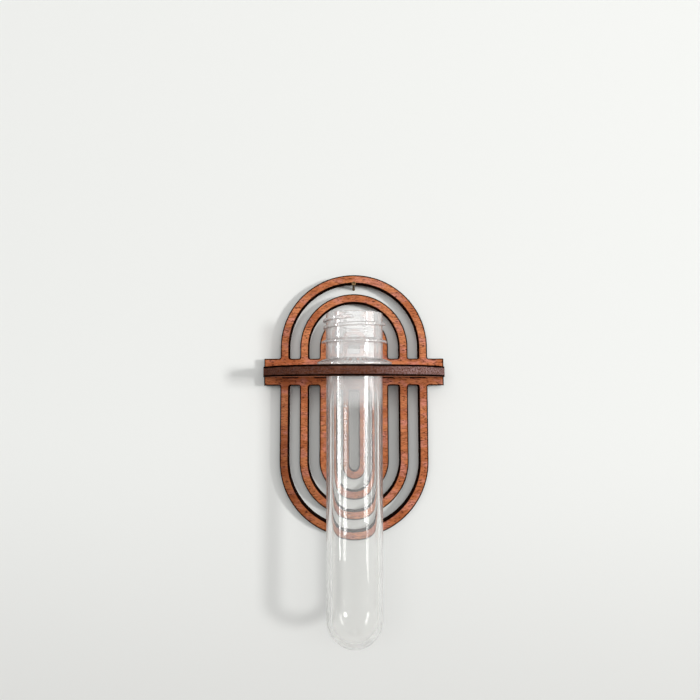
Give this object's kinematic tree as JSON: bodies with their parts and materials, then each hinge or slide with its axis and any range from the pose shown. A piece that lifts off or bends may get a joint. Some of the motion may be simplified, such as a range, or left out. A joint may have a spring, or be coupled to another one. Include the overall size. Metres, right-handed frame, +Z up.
{
  "type": "propagation vase",
  "caption": "Wall-hung vase for rooting cuttings: a clear screw-neck tube in a half-round shelf on a back plate of nested pill-shaped rings.",
  "frame": {"origin": "where the nail's axis enters the wall, on the plane of the wall and of the back plate's back", "axes": "+Z up, +Y into the wall, +X to the right as seen from the room"},
  "size_m": [0.085, 0.0582, 0.1619],
  "materials": {
    "wood_face": "oiled reddish-brown veneer, laser-cut edges charred dark",
    "wood_shelf": "same sheet, its cut edge charred to a dark brown",
    "clear_tube": "clear polished PET",
    "nail_steel": "dull bright wire"
  },
  "bodies": {
    "nail": {"wall_nail": "nail_steel"},
    "holder": {"back_plate": "wood_face", "shelf": "wood_shelf"},
    "vase_tube": {"tube": "clear_tube"}
  },
  "joints": [
    {"name": "holder_swing", "type": "hinge", "parent": "nail", "child": "holder", "pos_m": [0, -0.0048, 0.00129], "axis": [0, 1, 0], "range_deg": [-20, 20]},
    {"name": "tube_lift", "type": "slide", "parent": "holder", "child": "vase_tube", "axis": [0, 0, 1], "range_m": [0, 0.125]}
  ]
}
